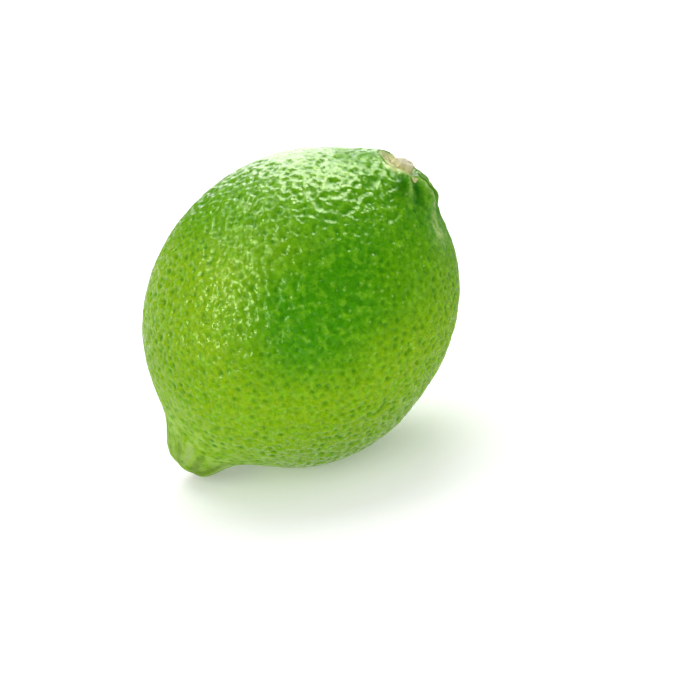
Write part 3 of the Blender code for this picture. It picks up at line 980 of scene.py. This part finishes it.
def photo_axes():
    """Rotation from the camera's axes to the part's frame."""
    lean = Matrix.Rotation(CAMERA_LEAN, 4, "Y")
    return lean @ Matrix.Rotation(math.pi / 2.0 - CAMERA_ELEVATION, 4, "X")


def add_camera(middle):
    """Camera at the photograph's angle."""
    data = bpy.data.cameras.new("camera")
    data.lens = CAMERA_LENS
    data.sensor_width = SENSOR_WIDTH
    camera = bpy.data.objects.new("camera", data)
    bpy.context.scene.collection.objects.link(camera)
    offset = Vector((CAMERA_SHIFT_RIGHT, CAMERA_SHIFT_UP, CAMERA_DISTANCE))
    camera.matrix_world = Matrix.Translation(middle) @ photo_axes() @ Matrix.Translation(offset)
    bpy.context.scene.camera = camera


def add_panel(middle, name, direction, along, distance, size, power):
    """Soft rectangular light that faces the fruit's middle."""
    data = bpy.data.lights.new(name, "AREA")
    data.shape = "RECTANGLE"
    data.size, data.size_y = size
    data.energy = power
    light = bpy.data.objects.new(name, data)
    bpy.context.scene.collection.objects.link(light)
    way = (photo_axes().to_3x3() @ Vector(direction)).normalized()
    side = photo_axes().to_3x3() @ Vector(along)
    side = (side - side.dot(way) * way).normalized()
    turned = Matrix((side, way.cross(side), way)).transposed().to_4x4()
    light.matrix_world = Matrix.Translation(Vector(middle) + way * distance) @ turned
    light.visible_camera = False
    return light


def add_panels(middle):
    """All the soft panels, each for reflections alone or for light alone."""
    for panel in SHEEN_PANELS:
        add_panel(middle, *panel).visible_diffuse = False
    for panel in FILL_PANELS:
        add_panel(middle, *panel).visible_glossy = False


def add_world():
    """Surroundings: white to the camera, even as a light, and dark with a few glows in reflections."""
    world = bpy.data.worlds.new("studio")
    bpy.context.scene.world = world
    world.use_nodes = True
    tree = world.node_tree
    background = tree.nodes["Background"]
    way = tree.nodes.new("ShaderNodeTexCoord").outputs["Generated"]
    glow = MIRRORED_DARK
    for direction, low, high, brightness in MIRRORED_GLOWS:
        side = tree.nodes.new("ShaderNodeVectorMath")
        side.operation = "DOT_PRODUCT"
        side.inputs[1].default_value = (photo_axes().to_3x3() @ Vector(direction)).normalized()
        tree.links.new(way, side.inputs[0])
        lit = map_range(tree, side.outputs["Value"], low, high, 0.0, brightness)
        glow = maths(tree, "ADD", lit, glow)
    path = tree.nodes.new("ShaderNodeLightPath")
    strength = 1.0
    for ray, value in (("Is Diffuse Ray", SOFT_LIGHT), ("Is Glossy Ray", glow)):
        chosen = tree.nodes.new("ShaderNodeMix")
        feed(tree, chosen.inputs[0], path.outputs[ray])
        feed(tree, chosen.inputs[2], strength)
        feed(tree, chosen.inputs[3], value)
        strength = chosen.outputs[0]
    feed(tree, background.inputs["Strength"], strength)
    feed(tree, background.inputs["Color"], PURE_WHITE)


def add_floor():
    """Plain white table, brighter at the left in the rind's reflections."""
    size = TABLE_HALF_SIZE
    corners = [(-size, -size, 0.0), (size, -size, 0.0), (size, size, 0.0), (-size, size, 0.0)]
    floor = add_mesh("floor", corners, [(0, 1, 2, 3)])
    material, tree = new_material("white_table")
    shader = tree.nodes["Principled BSDF"]
    feed(tree, shader.inputs["Base Color"], TABLE_WHITE)
    feed(tree, shader.inputs["Roughness"], TABLE_ROUGHNESS)
    feed(tree, shader.inputs["Specular IOR Level"], 0.0)
    feed(tree, shader.inputs["Emission Color"], PURE_WHITE)
    feed(tree, shader.inputs["Emission Strength"], TABLE_GLOW)
    place = tree.nodes.new("ShaderNodeSeparateXYZ")
    feed(tree, place.inputs[0], object_place(tree))
    brightness = map_range(tree, place.outputs["X"], *MIRRORED_TABLE_CHANGE, *MIRRORED_TABLE)
    mirrored = tree.nodes.new("ShaderNodeEmission")
    feed(tree, mirrored.inputs["Strength"], brightness)
    seen = tree.nodes.new("ShaderNodeMixShader")
    path = tree.nodes.new("ShaderNodeLightPath")
    feed(tree, seen.inputs[0], path.outputs["Is Glossy Ray"])
    feed(tree, seen.inputs[1], shader.outputs[0])
    feed(tree, seen.inputs[2], mirrored.outputs[0])
    feed(tree, tree.nodes["Material Output"].inputs["Surface"], seen.outputs[0])
    floor.data.materials.append(material)


rind, middle = make_rind()
rind.data.materials.append(rind_material())
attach(rind, "root")
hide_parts("fruit")

button = make_button(middle)
button.data.materials.append(dry_material())
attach(button, "root")
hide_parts("stem_button")

add_floor()
add_camera(middle)
add_panels(middle)
add_world()
bpy.context.scene.view_settings.view_transform = "Standard"
